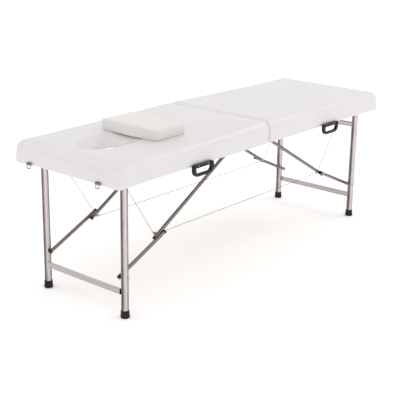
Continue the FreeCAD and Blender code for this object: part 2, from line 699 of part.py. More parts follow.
def make_latch(side):
    """A ring that hangs from the pin, with a window for the catch and a lip to lift it by."""
    y = side * LATCH_Y
    low = LATCH_LEVER_LOW
    barrel = cross_pin(2.9, LATCH_PIN_X, LATCH_PIVOT_Z, y - LATCH_LEVER_HALF, y + LATCH_LEVER_HALF)
    blade = box(LATCH_PIN_X - 0.8, LATCH_PIN_X + 0.8, y - LATCH_LEVER_HALF, y + LATCH_LEVER_HALF,
                low, LATCH_PIVOT_Z - 1)
    lip = box(LATCH_PIN_X - 4.0, LATCH_PIN_X + 0.8, y - 7.5, y + 7.5, low, low + 1.6)
    window = box(LATCH_PIN_X - 2, LATCH_PIN_X + 2, y - 6.5, y + 6.5, low + 2.4, LATCH_PIVOT_Z - 4.5)
    bore = cross_pin(LATCH_PIN_RADIUS + BOLT_CLEARANCE, LATCH_PIN_X, LATCH_PIVOT_Z, y - 11, y + 11)
    return barrel.fuse(blade).fuse(lip).cut(window).cut(bore)


def make_latch_catches():
    """A plate on the other end, with the tab that a latch closes over."""
    catches = []
    face_x = -HALF_LENGTH - 0.3
    for side in (-1, 1):
        y = side * LATCH_Y
        plate = box(face_x - LATCH_PLATE, face_x, y - LATCH_PLATE_HALF, y + LATCH_PLATE_HALF,
                    CATCH_LOW_Z, SKIRT_Z + 16)
        tab = box(LATCH_PIN_X - 2.2, face_x - LATCH_PLATE / 2, y - 5, y + 5, CATCH_LOW_Z, CATCH_LOW_Z + 1.8)
        catches.append(plate.fuse(tab))
    return catches


# ---------------------------------------------------------------- loose pillow
def make_pillow():
    x, y = PILLOW_CENTRE
    length, width, height = PILLOW
    z = TABLE_HEIGHT + 0.3
    block = box(x - length / 2, x + length / 2, y - width / 2, y + width / 2, z, z + height)
    return block.makeFillet(PILLOW_EDGE, block.Edges)


# ---------------------------------------------------------------- export
def as_list(shapes):
    return shapes if isinstance(shapes, list) else [shapes]


def save(node, shapes):
    """Write one node's solids to its own file."""
    solids = [solid for shape in as_list(shapes) for solid in shape.Solids]
    for solid in solids:
        if not solid.isValid() or solid.Volume <= 0:
            print("bad solid in", node)
    whole = solids[0] if len(solids) == 1 else Part.makeCompound(solids)
    whole.exportStep("parts/" + node + ".step")


def on_half(half, shapes):
    """The head half's shapes as they are, or mirrored across the fold for the foot half."""
    if half == "head":
        return shapes
    return [shape.mirror(V(0, 0, 0), V(1, 0, 0)) for shape in as_list(shapes)]


def save_half(half):
    crossbars = [LOWER_CROSSBAR_Z] if half == "head" else [LOWER_CROSSBAR_Z, UPPER_CROSSBAR_Z]
    pieces = {
        "cover": make_cover(half),
        "foam": make_foam(half),
        "edge_foam": make_edge_foam(),
        "board": make_board(half),
        "rails": make_rails(),
        "leg_brackets": make_leg_brackets(),
        "brace_brackets": make_brace_brackets(),
        "pivot_bolts": make_pivot_bolts(),
        "hinge_leaves": make_hinge_leaves(half),
        "cable_anchors": make_cable_anchors(),
        "cables": [make_cable(-1), make_cable(1)],
        "handle_mount": make_handle_mount(),
        "handle": make_handle(),
        "bumpers": make_bumpers(),
        "leg_near": make_leg(-1),
        "leg_far": make_leg(1),
        "feet": make_feet(),
        "lower_crossbar": make_crossbar(LOWER_CROSSBAR_Z),
        "crossbar_rivets": make_crossbar_rivets(crossbars),
        "brace_bolts": make_brace_bolts(),
        "upper_braces": make_braces("upper"),
        "lower_braces": make_braces("lower"),
        "upper_brace_caps": make_brace_caps("upper"),
        "lower_brace_caps": make_brace_caps("lower"),
        "knee_bolts": make_knee_bolts(),
        "knee_nuts": make_knee_nuts(),
    }
    for name, shapes in pieces.items():
        save(half + "_" + name, on_half(half, shapes))


os.makedirs("parts", exist_ok=True)
save_half("head")
save_half("foot")
save("foot_upper_crossbar", on_half("foot", make_crossbar(UPPER_CROSSBAR_Z)))
save("hinge_pins", make_hinge_pins())
save("latch_bases", make_latch_bases())
save("latch_near", make_latch(-1))
save("latch_far", make_latch(1))
save("latch_catches", on_half("foot", make_latch_catches()))
save("pillow", make_pillow())
save("hole_collar", make_hole_collar())

print("hinge axis height", round(HINGE_Z, 2))
print("knee at x", round(knee[0], 2), "z", round(knee[1], 2))
print("brace lengths", round(upper_length, 2), round(lower_length, 2))
print("upper brace travel", round(degrees(upper_angle), 4))
print("lower brace travel", round(90 - degrees(lower_angle), 4))
print("cable bend radius", round(CABLE_BEND, 2), "level at z", round(cable_z, 2))
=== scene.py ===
import json
from math import atan2, cos, exp, hypot, pi, radians, sin, tanh

import bpy
from mathutils import Matrix, Vector


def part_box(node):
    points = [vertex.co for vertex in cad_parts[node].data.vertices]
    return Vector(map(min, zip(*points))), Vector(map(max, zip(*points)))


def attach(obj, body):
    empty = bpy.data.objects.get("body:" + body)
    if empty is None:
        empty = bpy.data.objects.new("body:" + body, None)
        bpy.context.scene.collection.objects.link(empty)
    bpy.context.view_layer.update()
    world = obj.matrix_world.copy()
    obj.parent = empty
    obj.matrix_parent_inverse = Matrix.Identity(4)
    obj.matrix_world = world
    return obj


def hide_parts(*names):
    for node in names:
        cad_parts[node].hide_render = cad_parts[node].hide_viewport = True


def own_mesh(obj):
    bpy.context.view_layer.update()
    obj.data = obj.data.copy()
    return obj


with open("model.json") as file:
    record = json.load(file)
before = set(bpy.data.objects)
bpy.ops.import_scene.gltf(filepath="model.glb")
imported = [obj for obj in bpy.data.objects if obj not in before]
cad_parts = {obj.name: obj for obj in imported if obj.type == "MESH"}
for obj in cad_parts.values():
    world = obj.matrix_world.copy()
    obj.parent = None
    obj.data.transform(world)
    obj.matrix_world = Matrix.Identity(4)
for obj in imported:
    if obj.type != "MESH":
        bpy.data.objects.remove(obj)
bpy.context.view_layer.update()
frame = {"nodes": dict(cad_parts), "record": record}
HALVES = ("head", "foot")
MM = 0.001


# ==================================================================== upholstered halves
# Each half is a foam slab on a board, wrapped in one sheet of white PU leather that is pulled
# down over the sides and stapled under the rails. On the head half the foam is cut away round
# the face hole, so the leather dips into a hollow there and lines the hole.
LEATHER_THICKNESS = 1.2 * MM
SWELL = 3.5 * MM
END_CORNER_RADIUS = 34 * MM
TOP_EDGE_RADIUS = 30 * MM
FOLD_EDGE_RADIUS = 12 * MM
FOLD_CROWN = 8 * MM
CROWN_DEPTH = 50 * MM
RETURN_WIDTH = 20 * MM
COVER_VOXEL = 6 * MM
HOLE_LENGTH = 190 * MM
HOLE_WIDTH = 110 * MM
HOLLOW_REACH = 46 * MM
HOLLOW_DEPTH = 25 * MM
CORNER_SQUARENESS = 3.4
CORNER_DROOP = 4.5 * MM
DROOP_REACH = 80 * MM
DROOP_HEIGHT = 45 * MM
LEVEL_BAND = 10 * MM
STAPLED_BAND = 22 * MM
FOLD_BAND = 16 * MM
HOLE_BAND = 26 * MM
LINING_MARGIN = 2 * MM
HOLD_STRENGTH = 1.6
LEATHER_GRAIN = 2.2 * MM

hole_low, hole_high = [Vector(c) for c in frame["record"]["physics"]["openings"][0]["box_m"]]
hole_x = (hole_low.x + hole_high.x) / 2
board_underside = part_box("head_board")[0].z
lining_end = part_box("hole_collar")[0].z


def start_clean():
    """Back to object mode with nothing selected."""
    if bpy.context.mode != "OBJECT":
        bpy.ops.object.mode_set(mode="OBJECT")
    bpy.ops.object.select_all(action="DESELECT")


def make_active(piece):
    start_clean()
    piece.select_set(True)
    bpy.context.view_layer.objects.active = piece


def newest(name):
    """Names the primitive that was just added, and puts its place and size into its mesh."""
    piece = bpy.context.active_object
    piece.name = name
    piece.data.name = name
    make_active(piece)
    bpy.ops.object.transform_apply(location=True, rotation=True, scale=True)
    return piece


def block(name, low, high):
    """A cube between two corners."""
    start_clean()
    low, high = Vector(low), Vector(high)
    bpy.ops.mesh.primitive_cube_add(size=1, location=(low + high) / 2, scale=high - low)
    return newest(name)


def choose(piece, kind, test):
    """Edit mode, with only the edges or faces selected whose middle passes the test."""
    make_active(piece)
    mesh = piece.data
    bpy.context.tool_settings.mesh_select_mode = (False, kind == "edges", kind == "faces")
    for group in (mesh.vertices, mesh.edges, mesh.polygons):
        group.foreach_set("select", [False] * len(group))
    for item in mesh.edges if kind == "edges" else mesh.polygons:
        corners = [mesh.vertices[i].co for i in item.vertices]
        item.select = test(sum(corners, Vector()) / len(corners))
    bpy.ops.object.mode_set(mode="EDIT")


def round_edges(piece, radius, segments, test):
    choose(piece, "edges", test)
    bpy.ops.mesh.bevel(offset=radius, segments=segments, profile=0.5, affect="EDGES")
    start_clean()


def applied(piece, kind, **settings):
    """Adds a modifier and applies it."""
    make_active(piece)
    modifier = piece.modifiers.new(kind.title(), kind)
    for name, value in settings.items():
        setattr(modifier, name, value)
    bpy.ops.object.modifier_apply(modifier=modifier.name)


def swell(piece, hold, most):
    """Cloth under pressure, as foam fills a tight cover. hold says how firmly a point stays."""
    mesh = piece.data
    before = [v.co.copy() for v in mesh.vertices]
    held = piece.vertex_groups.new(name="held")
    for vertex in mesh.vertices:
        held.add([vertex.index], hold(vertex.co), "REPLACE")
    make_active(piece)
    cloth = piece.modifiers.new("Cloth", "CLOTH")
    cloth.settings.vertex_group_mass = "held"
    cloth.settings.use_pressure = True
    cloth.settings.uniform_pressure_force = 4
    cloth.settings.effector_weights.gravity = 0
    cloth.settings.quality = 4
    cloth.point_cache.frame_end = 20
    for step in range(1, 21):
        bpy.context.scene.frame_set(step)
    bpy.ops.object.modifier_apply(modifier=cloth.name)
    bpy.context.scene.frame_set(1)
    for vertex, old in zip(mesh.vertices, before):
        move = vertex.co - old
        if move.length > 1e-9:
            vertex.co = old + move.normalized() * most * tanh(move.length / most)
    piece.vertex_groups.clear()


def from_hole(point):
    """How far a point is outside the face hole's outline, seen from above."""
    straight = (HOLE_LENGTH - HOLE_WIDTH) / 2
    along = max(abs(point.x - hole_x) - straight, 0)
    return hypot(along, point.y) - HOLE_WIDTH / 2


def linear(code):
    """An sRGB hex colour as linear red, green, blue and alpha."""
    parts = [int(code[i:i + 2], 16) / 255 for i in (1, 3, 5)]
    return [p / 12.92 if p <= 0.04045 else ((p + 0.055) / 1.055) ** 2.4 for p in parts] + [1]


def add(material, kind, values=None, links=None, stops=None, **settings):
    """Adds one shader node with its settings, values and links."""
    tree = material.node_tree
    node = tree.nodes.new("ShaderNode" + kind)
    for name, value in settings.items():
        setattr(node, name, value)
    for socket, value in (values or {}).items():
        node.inputs[socket].default_value = value
    for socket, source in (links or {}).items():
        tree.links.new(source, node.inputs[socket])
    for element, (position, code) in zip(node.color_ramp.elements if stops else (), stops or ()):
        element.position = position
        element.color = linear(code)
    return node


def surface(name, **values):
    """A new material, its shader with these plain values, and its object coordinates."""
    material = bpy.data.materials.new(name)
    material.use_nodes = True
    shader = material.node_tree.nodes["Principled BSDF"]
    for socket, value in values.items():
        shader.inputs[socket.replace("_", " ")].default_value = value
    place = add(material, "TexCoord").outputs["Object"]
    return material, shader, place


def wire_up(material, shader, **sources):
    for socket, source in sources.items():
        material.node_tree.links.new(source, shader.inputs[socket.replace("_", " ")])


def leather(name, light, shade):
    """PU-coated leather: embossed pebble grain, a soft even gloss and a faint mottle."""
    material, shader, place = surface(name, Roughness=0.38, Specular_IOR_Level=0.5,
                                      Coat_Weight=0.1, Coat_Roughness=0.3)
    mottle = add(material, "TexNoise", {"Scale": 7, "Detail": 3}, {"Vector": place})
    tint = add(material, "ValToRGB", links={"Fac": mottle.outputs["Fac"]},
               stops=[(0.35, shade), (0.65, light)])
    # the real grain is about half a millimetre; it is drawn coarser, so that it shows
    pebbles = add(material, "TexVoronoi", {"Scale": 1 / LEATHER_GRAIN}, {"Vector": place})
    pores = add(material, "TexNoise", {"Scale": 2 / LEATHER_GRAIN, "Detail": 2}, {"Vector": place})
    give = add(material, "TexNoise", {"Scale": 11, "Detail": 2}, {"Vector": place})
    soft = add(material, "Bump", {"Strength": 0.35, "Distance": 1.2 * MM},
               {"Height": give.outputs["Fac"]})
    pebble = add(material, "Bump", {"Strength": 0.35, "Distance": 0.25 * MM},
                 {"Height": pebbles.outputs["Distance"], "Normal": soft.outputs["Normal"]})
    pore = add(material, "Bump", {"Strength": 0.25, "Distance": 0.12 * MM},
               {"Height": pores.outputs["Fac"], "Normal": pebble.outputs["Normal"]})
    wire_up(material, shader, Base_Color=tint.outputs["Color"], Normal=pore.outputs["Normal"])
    return material


cover_leather = leather("pu_leather_white", "#DCD8D8", "#D9D5D5")


def make_cover(half):
    low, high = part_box(half + "_cover")
    outer = low.x if half == "head" else high.x
    fold = high.x if half == "head" else low.x
    inward = 1 if half == "head" else -1
    outer += inward * SWELL
    top = high.z - SWELL
    side = high.y - SWELL
    near_corner = (min(outer, fold), -side, low.z)
    far_corner = (max(outer, fold), side, top)
    cover = block(half + "_leather_cover", near_corner, far_corner)
    round_edges(cover, END_CORNER_RADIUS, 8,
                lambda p: abs(p.x - outer) < 1e-5 and abs(abs(p.y) - side) < 1e-5)
    round_edges(cover, TOP_EDGE_RADIUS, 8,
                lambda p: abs(p.z - top) < 1e-5 and abs(p.x - fold) > 1e-5)
    round_edges(cover, FOLD_EDGE_RADIUS, 4,
                lambda p: abs(p.x - fold) < 1e-5 and p.z > low.z + 1e-5)
    if half == "head":
        cut_face_hole(cover, low.z, high.z)
    applied(cover, "REMESH", mode="VOXEL", voxel_size=COVER_VOXEL)
    applied(cover, "SMOOTH", factor=0.5, iterations=6)
    level_underside(cover, low.z)
    raise_fold(cover, outer, fold, top)
    square_corners(cover, outer, side, top, inward)
    droop_corners(cover, outer, side, low.z)
    if half == "head":
        sink_round_hole(cover, top)
    open_underside(cover, low, high)

    def hold(p):
        stapled = max(0, 1 - (p.z - low.z) / STAPLED_BAND)
        at_fold = max(0, 1 - abs(p.x - fold) / FOLD_BAND)
        at_hole = 0
        if half == "head" and p.z > lining_end - LINING_MARGIN:
            at_hole = max(0, 1 - from_hole(p) / HOLE_BAND)
        return min(1, max(stapled, at_fold, at_hole) * HOLD_STRENGTH)

    swell(cover, hold, SWELL)
    applied(cover, "SMOOTH", factor=0.5, iterations=2)
    applied(cover, "SOLIDIFY", thickness=LEATHER_THICKNESS, offset=-1)
    make_active(cover)
    bpy.ops.object.shade_smooth_by_angle(angle=radians(50))
    cover.data.materials.append(cover_leather)
    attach(cover, half + "_panel")
    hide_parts(half + "_cover", half + "_foam", half + "_edge_foam")


def cut_face_hole(cover, bottom, top):
    start_clean()
    straight = (HOLE_LENGTH - HOLE_WIDTH) / 2
    bpy.ops.mesh.primitive_cylinder_add(vertices=64, radius=HOLE_WIDTH / 2, depth=(top - bottom) * 2,
                                        location=(hole_x, 0, (top + bottom) / 2))
    cutter = newest("cutter")
    for vertex in cutter.data.vertices:
        vertex.co.x += straight if vertex.co.x > hole_x else -straight
    applied(cover, "BOOLEAN", object=cutter, operation="DIFFERENCE", solver="EXACT")
    bpy.data.objects.remove(cutter)


def level_underside(cover, bottom):
    """Smoothing rounds the lower edge off, so it goes back to its height."""
    lowest = min(v.co.z for v in cover.data.vertices)
    for vertex in cover.data.vertices:
        vertex.co.z += (bottom - lowest) * max(0, 1 - (vertex.co.z - lowest) / LEVEL_BAND)


def raise_fold(cover, outer, fold, top):
    """The foam is packed fuller towards the fold, so the top climbs a little to it."""
    for vertex in cover.data.vertices:
        near_fold = 1 - abs(vertex.co.x - fold) / abs(outer - fold)
        share = min(max(1 - (top - vertex.co.z) / CROWN_DEPTH, 0), 1)
        vertex.co.z += FOLD_CROWN * share * max(near_fold, 0) ** 2


def square_corners(cover, outer, side, top, inward):
    """The leather is folded round the end corners, which draws them squarer low down."""
    for vertex in cover.data.vertices:
        across = END_CORNER_RADIUS - (vertex.co.x - outer) * inward
        beside = END_CORNER_RADIUS - (side - abs(vertex.co.y))
        if across > 0 and beside > 0:
            length = hypot(across, beside)
            power = CORNER_SQUARENESS
            squarer = ((across / length) ** power + (beside / length) ** power) ** (-1 / power) - 1
            share = min(max((top - vertex.co.z) / CROWN_DEPTH, 0), 1)
            vertex.co.x -= inward * across * squarer * share
            vertex.co.y += (1 if vertex.co.y > 0 else -1) * beside * squarer * share


def droop_corners(cover, outer, side, bottom):
    """The end corners' folded leather hangs a little lower than the skirt between them."""
    for vertex in cover.data.vertices:
        away = hypot(vertex.co.x - outer, abs(vertex.co.y) - side) / DROOP_REACH
        share = max(0, 1 - (vertex.co.z - bottom) / DROOP_HEIGHT)
        vertex.co.z -= CORNER_DROOP * share * exp(-away ** 2)


def sink_round_hole(cover, top):
    """The hollow that the leather dips into round the hole."""
    for vertex in cover.data.vertices:
        away = max(from_hole(vertex.co), 0) / HOLLOW_REACH
        share = min(max((vertex.co.z - board_underside) / (top - board_underside), 0), 1)
        if away < 1:
            vertex.co.z -= HOLLOW_DEPTH * share * (1 + cos(pi * away)) / 2


def open_underside(cover, low, high):
    """Leaves a strip turned in under the rails, and ends the hole's lining at its collar."""
    def inside(p):
        in_x = low.x + RETURN_WIDTH < p.x < high.x - RETURN_WIDTH
        in_y = low.y + RETURN_WIDTH < p.y < high.y - RETURN_WIDTH
        return in_x and in_y and p.z < lining_end

    choose(cover, "faces", inside)
    bpy.ops.mesh.delete(type="FACE")
    start_clean()


for half in HALVES:
    make_cover(half)


# ==================================================================== staples under the rails
# The leather's turned-in edge is held by wire staples, shot into the timber from below about
# every 32 mm. Each is a flat bridge of galvanised wire with its legs in the wood.
STAPLE_LENGTH = 11 * MM
STAPLE_WIRE = 1.0 * MM
STAPLE_SPACING = 32 * MM
STAPLE_LINE = 0.55
STAPLE_GAP = 0.25 * MM
STAPLE_BELOW = 0.3 * MM
STAPLE_ABOVE = 0.6 * MM
STAPLE_EDGE = 0.25 * MM


def galvanised(name, light, dark, roughness):
    """Zinc-plated steel: cool grey, with a faint spangle and a dull gloss."""
    material, shader, place = surface(name, Metallic=1, Roughness=roughness)
    spangle = add(material, "TexVoronoi", {"Scale": 260}, {"Vector": place})
    tint = add(material, "ValToRGB", links={"Fac": spangle.outputs["Color"]},
               stops=[(0.0, dark), (1.0, light)])
    scuffs = add(material, "TexNoise", {"Scale": 420, "Detail": 4}, {"Vector": place})
    bump = add(material, "Bump", {"Strength": 0.12, "Distance": 0.1 * MM},
               {"Height": scuffs.outputs["Fac"]})
    wire_up(material, shader, Base_Color=tint.outputs["Color"], Normal=bump.outputs["Normal"])
    return material


zinc = galvanised("zinc_plated_steel", "#C9C7C4", "#A9A6A3", 0.32)


def make_staples(half):
    low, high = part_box(half + "_cover")
    inset = RETURN_WIDTH * STAPLE_LINE
    x0, x1 = low.x + inset, high.x - inset
    y0, y1 = low.y + inset, high.y - inset
    spots = []
    for start, end, turned in (((x0, y0), (x1, y0), 0), ((x0, y1), (x1, y1), 0),
                               ((x0, y0), (x0, y1), 1), ((x1, y0), (x1, y1), 1)):
        length = hypot(end[0] - start[0], end[1] - start[1])
        count = int(length / STAPLE_SPACING)
        for i in range(1, count):
            share = i / count
            spots.append((start[0] + (end[0] - start[0]) * share,
                          start[1] + (end[1] - start[1]) * share, turned))
    under = low.z - STAPLE_GAP
    first = block("staple", (-STAPLE_LENGTH / 2, -STAPLE_WIRE / 2, under - STAPLE_BELOW),
                  (STAPLE_LENGTH / 2, STAPLE_WIRE / 2, under + STAPLE_ABOVE))
    round_edges(first, STAPLE_EDGE, 1, lambda p: p.z < under)
    copies = []
    for x, y, turned in spots:
        copy = first.copy()
        copy.data = first.data.copy()
        copy.data.transform(Matrix.Translation((x, y, 0)) @ Matrix.Rotation(turned * pi / 2, 4, "Z"))
        bpy.context.scene.collection.objects.link(copy)
        copies.append(copy)
    bpy.data.objects.remove(first)
    make_active(copies[0])
    for copy in copies:
        copy.select_set(True)
    bpy.ops.object.join()
    staples = newest(half + "_staples")
    staples.data.materials.append(zinc)
    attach(staples, half + "_panel")


for half in HALVES:
    make_staples(half)


# ==================================================================== loose pillow
# A boxed cushion of the same leather: a top, a bottom and four side strips, sewn together.
# Its seams pull in along every edge and stand a little open at the corners.
PILLOW_SWELL = 3 * MM
PILLOW_VOXEL = 3 * MM
SEAM_DEPTH = 1.4 * MM
SEAM_HALF_WIDTH = 1.4 * MM
SEAM_ZONE = 12 * MM
PILLOW_EDGE = 3 * MM
RESTING_BAND = 9 * MM
SEWN_BAND = 10 * MM
SEAM_HOLD = 0.75

# the pillow's leather is a little lighter than the cover's: painted light, for the pillow's faces
# catching more light than the table's
lit_pillow_leather = leather("pu_leather_pillow", "#DEDAD7", "#DBD7D4")


def make_pillow():
    low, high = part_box("pillow")
    middle = (low + high) / 2
    inset = Vector((PILLOW_SWELL, PILLOW_SWELL, PILLOW_SWELL))
    start_low = Vector((low.x + inset.x, low.y + inset.y, low.z))
    pillow = block("boxed_pillow", start_low, high - inset)
    round_edges(pillow, PILLOW_EDGE, 2, lambda p: True)
    applied(pillow, "REMESH", mode="VOXEL", voxel_size=PILLOW_VOXEL)
    applied(pillow, "SMOOTH", factor=0.5, iterations=1)

    def hold(p):
        resting = max(0, 1 - (p.z - low.z) / RESTING_BAND)
        edges = [high.x - abs(p.x - middle.x) - middle.x, high.y - abs(p.y - middle.y) - middle.y,
                 high.z - p.z]
        edges.sort()
        sewn = max(0, 1 - edges[1] / SEWN_BAND) * SEAM_HOLD
        return max(resting, sewn)

    swell(pillow, hold, PILLOW_SWELL)
    applied(pillow, "SUBSURF", levels=1, render_levels=1)
    sew(pillow)
    make_active(pillow)
    bpy.ops.object.shade_smooth()
    pillow.data.materials.append(lit_pillow_leather)
    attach(pillow, "pillow")
    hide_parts("pillow")


def sew(pillow):
    """Pulls the surface in along the eight long seams and the four corner seams."""
    spots = [v.co for v in pillow.data.vertices]
    low = Vector([min(p[i] for p in spots) for i in range(3)])
    high = Vector([max(p[i] for p in spots) for i in range(3)])
    middle = (low + high) / 2
    for vertex in pillow.data.vertices:
        point = vertex.co
        inward = [1 if point[i] < middle[i] else -1 for i in range(3)]
        depth = [min(point[i] - low[i], high[i] - point[i]) for i in range(3)]
        move = Vector()
        for a, b in ((0, 1), (0, 2), (1, 2)):
            if max(depth[a], depth[b]) < SEAM_ZONE:
                off_line = (depth[a] - depth[b]) / 2 ** 0.5
                pull = SEAM_DEPTH * exp(-(off_line / SEAM_HALF_WIDTH) ** 2)
                move[a] += inward[a] * pull
                move[b] += inward[b] * pull
        vertex.co = point + move


make_pillow()


# ==================================================================== steel legs, bars and braces
# Round tubes of polished stainless steel, with flat oval crossbars between the legs. The tubes
# are drawn and buffed and show fine lines along them; the long streaks in which they mirror the room are
# painted reflections in their colour.
def polished(name, light, dark, roughness, painted_streaks=3):
    """Buffed stainless steel: a warm grey mirror, with faint lines, a little haze and painted reflection
    bands.
    """
    material, shader, place = surface(name, Metallic=1, Roughness=roughness)
    stretch = add(material, "Mapping", {"Scale": (1, 1, 0.06)}, {"Vector": place})
    lines = add(material, "TexNoise", {"Scale": 900, "Detail": 3}, {"Vector": stretch.outputs["Vector"]})
    haze = add(material, "TexNoise", {"Scale": 16, "Detail": 4}, {"Vector": place})
    # broad lighter and darker bands along the tube, set by which way its surface faces, are painted
    # reflections: they stand for the dark parts of a room that a white studio doesn't have
    facing = add(material, "TexCoord").outputs["Normal"]
    parts = add(material, "SeparateXYZ", links={"Vector": facing})
    turn = add(material, "Math", links={0: parts.outputs["Y"], 1: parts.outputs["X"]},
               operation="ARCTAN2")
    painted_band_angle = add(material, "Math", {1: painted_streaks}, {0: turn.outputs["Value"]}, operation="MULTIPLY")
    painted_reflection_wave = add(material, "Math", links={0: painted_band_angle.outputs["Value"]}, operation="COSINE")
    level = add(material, "MapRange", {"From Min": -1}, {"Value": painted_reflection_wave.outputs["Value"]})
    painted_reflection = add(material, "Math", {1: 0.75, 2: 0.0}, {0: level.outputs["Result"]},
                operation="MULTIPLY_ADD")
    haze_and_painted_reflection = add(material, "Math", {1: 0.4}, {0: haze.outputs["Fac"], 2: painted_reflection.outputs["Value"]},
                operation="MULTIPLY_ADD")
    # colour from the haze's random tone, with the painted reflection bands on top
    tint = add(material, "ValToRGB", links={"Fac": haze_and_painted_reflection.outputs["Value"]},
               stops=[(0.2, dark), (0.85, light)])
    gloss = add(material, "MapRange", {"To Min": roughness * 0.8, "To Max": roughness * 1.3},
                {"Value": haze.outputs["Fac"]})
    bump = add(material, "Bump", {"Strength": 0.1, "Distance": 0.05 * MM},
               {"Height": lines.outputs["Fac"]})
    wire_up(material, shader, Base_Color=tint.outputs["Color"], Roughness=gloss.outputs["Result"],
            Normal=bump.outputs["Normal"])
    return material


def dress(material, *names):
    """Gives CAD nodes their finish."""
    for name in names:
        for place in frame["nodes"][name].material_slots:
            place.material = material


tube_steel = polished("stainless_tube", "#CCC4C2", "#5E5350", 0.2)
# the braces get a darker copy of the tube steel: painted shade for their place under the table
shaded_brace_steel = polished("brace_tube_shaded", "#958B88", "#4F4644", 0.3)
# the crossbars get a lighter copy of the tube steel with two painted reflection bands round them, so
# that their flat faces come out light: painted light
lit_bar_steel = polished("flat_crossbar", "#BAB1B0", "#7B716F", 0.24, painted_streaks=2)
dress(lit_bar_steel, "foot_upper_crossbar")
for half in HALVES:
    dress(tube_steel, half + "_leg_near", half + "_leg_far")
    dress(lit_bar_steel, half + "_lower_crossbar")
    dress(shaded_brace_steel, half + "_upper_braces", half + "_lower_braces")


# ==================================================================== latches
# Two nickel-plated levers at the head end and their catches at the foot end, stamped from
# sheet and turning on a pin. Plating over stamped sheet looks bright, with soft edges.
# its lighter and darker bands are painted reflections, as on the tubes
nickel = polished("nickel_plate", "#C4BDB8", "#857C77", 0.26)
dress(nickel, "latch_bases", "latch_near", "latch_far", "latch_catches")


# ==================================================================== brackets, bolts and hinges
# Pressed steel brackets, bolts, rivets and butt hinges, all zinc plated.
dress(zinc, "hinge_pins")
for half in HALVES:
    dress(zinc, *[half + "_" + piece for piece in (
        "leg_brackets", "brace_brackets", "pivot_bolts", "hinge_leaves", "cable_anchors",
        "crossbar_rivets", "brace_bolts", "knee_bolts", "knee_nuts")])


# ==================================================================== timber frame and board
# Rails of planed pine, with a thin birch plywood board on top of them. Only their undersides
# show. Pine has straight yellow grain, and the ply's peeled veneer has broad wavy figure.
def wood(name, light, dark, along, across, distortion):
    material, shader, place = surface(name, Roughness=0.62, Specular_IOR_Level=0.3)
    stretch = add(material, "Mapping", {"Scale": (1 / along, 1 / across, 1 / across)},
                  {"Vector": place})
    rings = add(material, "TexNoise", {"Scale": 1, "Detail": 5, "Distortion": distortion},
                {"Vector": stretch.outputs["Vector"]})
    tint = add(material, "ValToRGB", links={"Fac": rings.outputs["Fac"]},
               stops=[(0.38, dark), (0.62, light)])
    fibre = add(material, "Mapping", {"Scale": (60, 1400, 1400)}, {"Vector": place})
    pores = add(material, "TexNoise", {"Scale": 1, "Detail": 2}, {"Vector": fibre.outputs["Vector"]})
    bump = add(material, "Bump", {"Strength": 0.3, "Distance": 0.2 * MM},
               {"Height": pores.outputs["Fac"]})
    wire_up(material, shader, Base_Color=tint.outputs["Color"], Normal=bump.outputs["Normal"])
    return material


pine = wood("planed_pine", "#CDBDA3", "#B09C7D", 0.4, 0.006, 0.6)
birch_ply = wood("birch_plywood", "#CBBEA8", "#B7A78D", 0.5, 0.035, 1.2)
dress(pine, "hole_collar")
for half in HALVES:
    dress(pine, half + "_rails")
    dress(birch_ply, half + "_board")


# ==================================================================== rubber feet and studs
# Black rubber cups on the legs, and the studs that the closed table stands on. Moulded rubber
# is matt and not quite black, with a chalky bloom.
def moulded(name, light, dark, roughness, texture, depth, shine=0.5):
    material, shader, place = surface(name, Roughness=roughness, Specular_IOR_Level=shine)
    bloom = add(material, "TexNoise", {"Scale": 45, "Detail": 4}, {"Vector": place})
    tint = add(material, "ValToRGB", links={"Fac": bloom.outputs["Fac"]},
               stops=[(0.35, dark), (0.7, light)])
    skin = add(material, "TexNoise", {"Scale": 1 / texture, "Detail": 2}, {"Vector": place})
    bump = add(material, "Bump", {"Strength": 0.3, "Distance": depth}, {"Height": skin.outputs["Fac"]})
    wire_up(material, shader, Base_Color=tint.outputs["Color"], Normal=bump.outputs["Normal"])
    return material


rubber = moulded("moulded_rubber", "#1E1D1E", "#131213", 0.6, 1.1 * MM, 0.12 * MM, 0.3)
for half in HALVES:
    dress(rubber, half + "_feet", half + "_bumpers")


# ==================================================================== carrying handles
# Injection-moulded ABS: a fixed bar on two screws, and a thick bail that hangs from it on two
# stub pins. The mould rounds every edge, and the grip has shallow finger ridges.
BAIL_ARM = 18 * MM
BAIL_GRIP = 12 * MM
BAIL_OUTER_CORNER = 30 * MM
BAIL_INNER_CORNER = 16 * MM
BAIL_TOP_CORNER = 11 * MM
BAIL_VOXEL = 1.3 * MM
BAIL_SMOOTHING = 14
CUT_MARGIN = 5 * MM
CUT_ABOVE = 20 * MM
RIDGE_HEIGHT = 0.5 * MM
RIDGE_SPACING = 15 * MM
PIN_RADIUS = 3 * MM
PIN_LENGTH = 16 * MM
PIN_INSET = 4 * MM
SCREW_RADIUS = 3.9 * MM
SCREW_RECESS = 2.4 * MM
SCREW_SPACING = 57 * MM
SCREW_DOME = 0.44
SLOT_RISE = 1.7 * MM
SLOT_SIZE = (4.2 * MM, 1.2 * MM, 0.9 * MM)

gloss_abs = moulded("gloss_black_abs", "#121112", "#0A0A0B", 0.2, 1.6 * MM, 0.05 * MM, 0.28)


